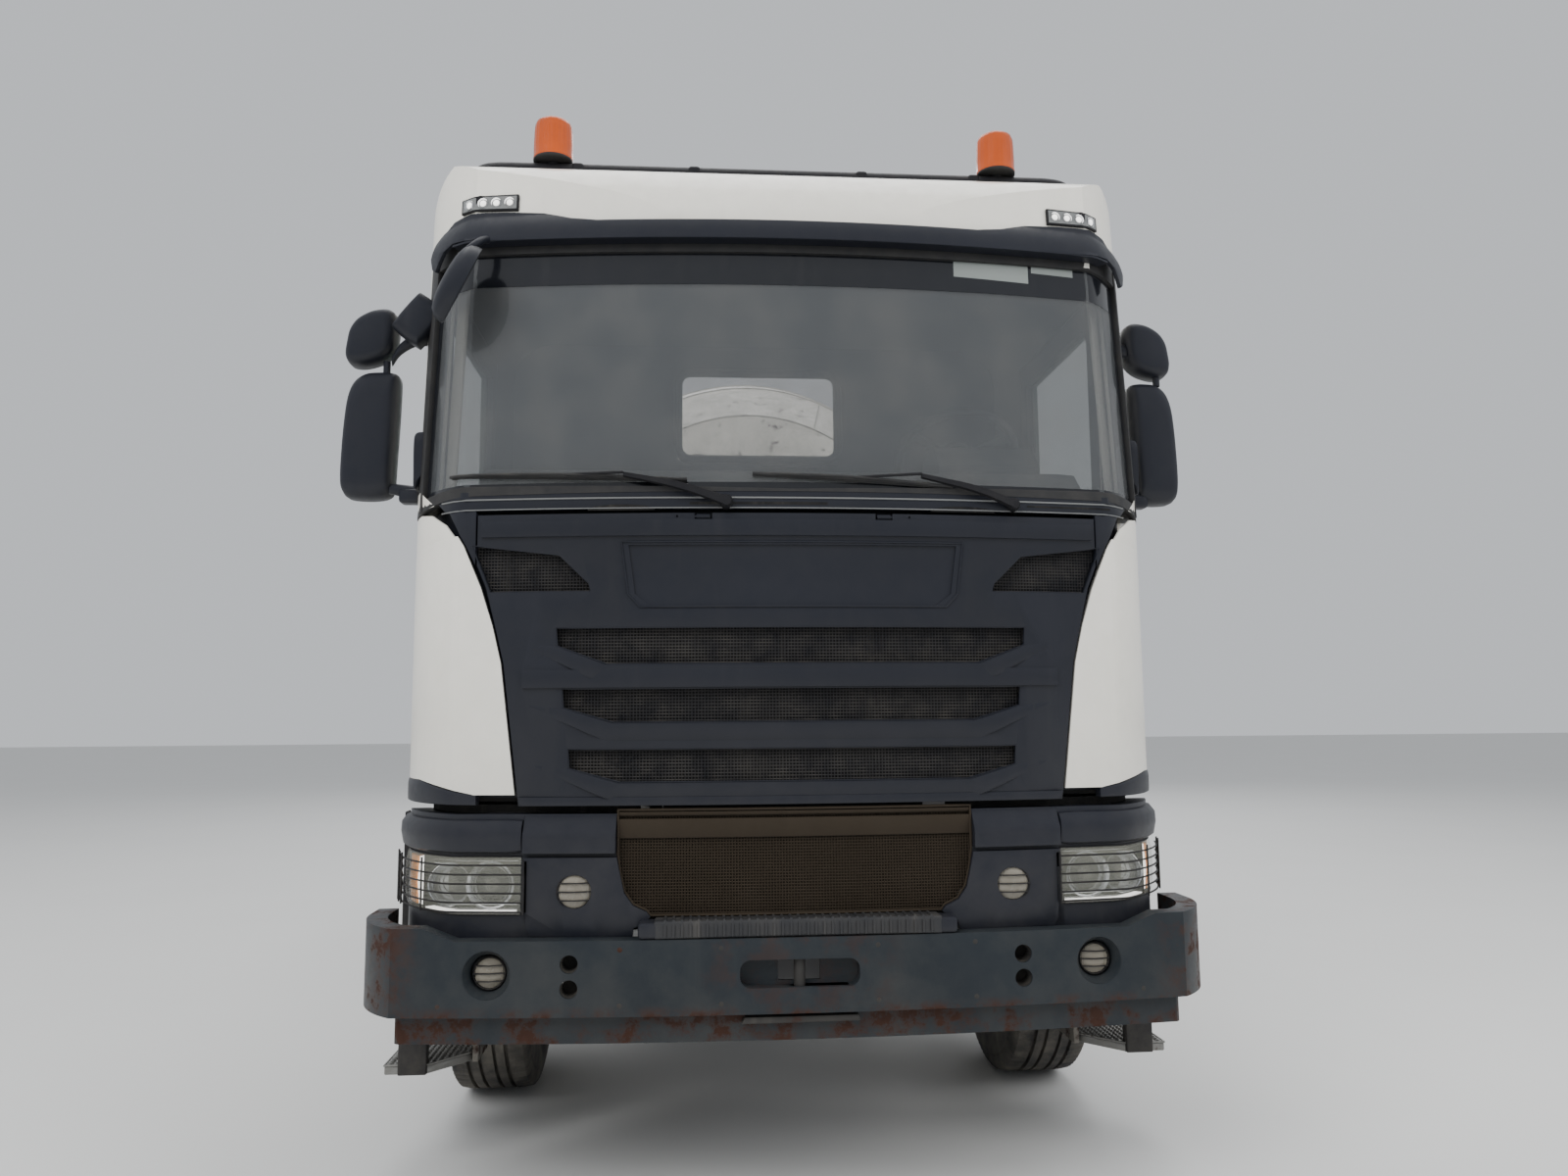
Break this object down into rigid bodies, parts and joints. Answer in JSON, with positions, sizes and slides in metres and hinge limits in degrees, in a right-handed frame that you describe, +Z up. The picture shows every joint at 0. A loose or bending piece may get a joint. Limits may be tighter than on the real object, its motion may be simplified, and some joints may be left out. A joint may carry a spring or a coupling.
{
  "type": "concrete mixer truck",
  "caption": "Cab-over concrete mixer truck with twin steered axles, tilting cab, turning drum on rollers, loading hopper and swivelling, folding discharge chute.",
  "frame": {"origin": "on the ground, at the middle of the truck's length and width", "axes": "+Z up, -Y towards the cab's front, +X towards the truck's left side"},
  "size_m": [2.94, 9.1353, 3.8514],
  "materials": {
    "frame_paint": "satin",
    "mixer_paint": "satin",
    "drum_paint": "gloss",
    "bumper_paint": "satin",
    "front_plastic": "matte",
    "mesh_plastic": "matte",
    "grille_plastic": "dusty",
    "lamp_glass": "clear",
    "step_metal": "ribbed",
    "engine_iron": "matte",
    "axle_iron": "matte",
    "tank_metal": "brushed",
    "box_plastic": "matte",
    "drive_iron": "painted",
    "cab_paint": "gloss",
    "cab_glass": "tinted",
    "interior_plastic": "grained",
    "beacon_plastic": "clear amber",
    "tyre_rubber": "matte",
    "rim_paint": "satin",
    "roller_steel": "worn",
    "chute_steel": "worn"
  },
  "bodies": {
    "chassis": {"frame": "frame_paint", "mixer_frame": "mixer_paint", "bumper": "bumper_paint", "front_carrier": "front_plastic", "steps": "step_metal", "lower_grille": "grille_plastic", "headlamps": "lamp_glass", "engine": "engine_iron", "front_axles": "axle_iron", "rear_axles": "axle_iron", "fuel_tank": "tank_metal", "side_boxes": "box_plastic", "mudguards": "box_plastic", "rear_bar": "frame_paint", "drum_drive": "drive_iron", "water_tank": "tank_metal", "hoppers": "mixer_paint", "ladder": "tank_metal"},
    "cab": {"cab_shell": "cab_paint", "cab_glass": "cab_glass", "visor": "front_plastic", "corner_panels": "cab_paint", "cowl": "front_plastic", "cab_interior": "interior_plastic", "roof_bar": "box_plastic", "beacons": "beacon_plastic", "mirrors": "front_plastic"},
    "hatch": {"hatch": "front_plastic", "hatch_mesh": "mesh_plastic"},
    "door_left": {"door_left": "cab_paint", "door_glass_left": "cab_glass"},
    "door_right": {"door_right": "cab_paint", "door_glass_right": "cab_glass"},
    "steering_wheel": {"steering_wheel": "interior_plastic"},
    "drum": {"drum": "drum_paint"},
    "roller_left": {"roller_left": "roller_steel"},
    "roller_right": {"roller_right": "roller_steel"},
    "chute_arm": {"chute_arm": "chute_steel"},
    "chute": {"chute": "chute_steel"},
    "chute_end": {"chute_end": "chute_steel"},
    "knuckle_1_left": {"knuckle_1_left": "axle_iron"},
    "wheel_1_left": {"tyre_1_left": "tyre_rubber", "rim_1_left": "rim_paint"},
    "knuckle_1_right": {"knuckle_1_right": "axle_iron"},
    "wheel_1_right": {"tyre_1_right": "tyre_rubber", "rim_1_right": "rim_paint"},
    "knuckle_2_left": {"knuckle_2_left": "axle_iron"},
    "wheel_2_left": {"tyre_2_left": "tyre_rubber", "rim_2_left": "rim_paint"},
    "knuckle_2_right": {"knuckle_2_right": "axle_iron"},
    "wheel_2_right": {"tyre_2_right": "tyre_rubber", "rim_2_right": "rim_paint"},
    "wheels_3_left": {"tyres_3_left": "tyre_rubber", "rims_3_left": "rim_paint"},
    "wheels_3_right": {"tyres_3_right": "tyre_rubber", "rims_3_right": "rim_paint"},
    "wheels_4_left": {"tyres_4_left": "tyre_rubber", "rims_4_left": "rim_paint"},
    "wheels_4_right": {"tyres_4_right": "tyre_rubber", "rims_4_right": "rim_paint"}
  },
  "joints": [
    {"name": "steer_1_left", "type": "hinge", "parent": "chassis", "child": "knuckle_1_left", "pos_m": [0.955, -3.07534, 0.53], "axis": [0, 0, 1], "range_deg": [-36, 36]},
    {"name": "spin_1_left", "type": "hinge", "parent": "knuckle_1_left", "child": "wheel_1_left", "pos_m": [1.045, -3.07534, 0.53], "axis": [1, 0, 0], "continuous": true},
    {"name": "steer_1_right", "type": "hinge", "parent": "chassis", "child": "knuckle_1_right", "pos_m": [-0.955, -3.07534, 0.53], "axis": [0, 0, 1], "range_deg": [-36, 36]},
    {"name": "spin_1_right", "type": "hinge", "parent": "knuckle_1_right", "child": "wheel_1_right", "pos_m": [-1.045, -3.07534, 0.53], "axis": [1, 0, 0], "continuous": true},
    {"name": "steer_2_left", "type": "hinge", "parent": "chassis", "child": "knuckle_2_left", "pos_m": [0.955, -1.17534, 0.53], "axis": [0, 0, 1], "range_deg": [-24, 24]},
    {"name": "spin_2_left", "type": "hinge", "parent": "knuckle_2_left", "child": "wheel_2_left", "pos_m": [1.045, -1.17534, 0.53], "axis": [1, 0, 0], "continuous": true},
    {"name": "steer_2_right", "type": "hinge", "parent": "chassis", "child": "knuckle_2_right", "pos_m": [-0.955, -1.17534, 0.53], "axis": [0, 0, 1], "range_deg": [-24, 24]},
    {"name": "spin_2_right", "type": "hinge", "parent": "knuckle_2_right", "child": "wheel_2_right", "pos_m": [-1.045, -1.17534, 0.53], "axis": [1, 0, 0], "continuous": true},
    {"name": "spin_3_left", "type": "hinge", "parent": "chassis", "child": "wheels_3_left", "pos_m": [0.93, 1.42466, 0.53], "axis": [1, 0, 0], "continuous": true},
    {"name": "spin_3_right", "type": "hinge", "parent": "chassis", "child": "wheels_3_right", "pos_m": [-0.93, 1.42466, 0.53], "axis": [1, 0, 0], "continuous": true},
    {"name": "spin_4_left", "type": "hinge", "parent": "chassis", "child": "wheels_4_left", "pos_m": [0.93, 2.77466, 0.53], "axis": [1, 0, 0], "continuous": true},
    {"name": "spin_4_right", "type": "hinge", "parent": "chassis", "child": "wheels_4_right", "pos_m": [-0.93, 2.77466, 0.53], "axis": [1, 0, 0], "continuous": true},
    {"name": "cab_tilt", "type": "hinge", "parent": "chassis", "child": "cab", "pos_m": [0, -4.42534, 0.95], "axis": [1, 0, 0], "range_deg": [0, 60]},
    {"name": "hatch_lift", "type": "hinge", "parent": "cab", "child": "hatch", "pos_m": [0, -4.50034, 2.02], "axis": [-1, 0, 0], "range_deg": [0, 75]},
    {"name": "door_left_swing", "type": "hinge", "parent": "cab", "child": "door_left", "pos_m": [1.19, -3.94334, 2], "axis": [0, 0, -1], "range_deg": [0, 70]},
    {"name": "door_right_swing", "type": "hinge", "parent": "cab", "child": "door_right", "pos_m": [-1.19, -3.94334, 2], "axis": [0, 0, 1], "range_deg": [0, 70]},
    {"name": "steering_wheel_turn", "type": "hinge", "parent": "cab", "child": "steering_wheel", "pos_m": [0.74, -3.67534, 2.17], "axis": [0, 0.5736, 0.8192], "range_deg": [-540, 540]},
    {"name": "drum_spin", "type": "hinge", "parent": "chassis", "child": "drum", "pos_m": [0, -1.82534, 2.12], "axis": [0, 0.9781, 0.2079], "continuous": true},
    {"name": "roller_left_spin", "type": "hinge", "parent": "chassis", "child": "roller_left", "pos_m": [0.62537, 2.02841, 2.02606], "axis": [0, 0.9781, 0.2079], "continuous": true},
    {"name": "roller_right_spin", "type": "hinge", "parent": "chassis", "child": "roller_right", "pos_m": [-0.62537, 2.02841, 2.02606], "axis": [0, 0.9781, 0.2079], "continuous": true},
    {"name": "chute_swivel", "type": "hinge", "parent": "chassis", "child": "chute_arm", "pos_m": [0, 3.47468, 1.3], "axis": [0, 0, 1], "range_deg": [-85, 85]},
    {"name": "chute_tilt", "type": "hinge", "parent": "chute_arm", "child": "chute", "pos_m": [0, 3.47468, 1.7], "axis": [1, 0, 0], "range_deg": [-20, 15]},
    {"name": "chute_fold", "type": "hinge", "parent": "chute", "child": "chute_end", "pos_m": [0, 4.50546, 1.43209], "axis": [1, 0, 0], "range_deg": [-180, 0]}
  ],
  "couplings": [
    {"joint": "steer_1_right", "follows": "steer_1_left", "ratio": 1},
    {"joint": "steer_2_left", "follows": "steer_1_left", "ratio": 0.65},
    {"joint": "steer_2_right", "follows": "steer_1_left", "ratio": 0.65},
    {"joint": "roller_left_spin", "follows": "drum_spin", "ratio": -7.3846},
    {"joint": "roller_right_spin", "follows": "drum_spin", "ratio": -7.3846}
  ]
}
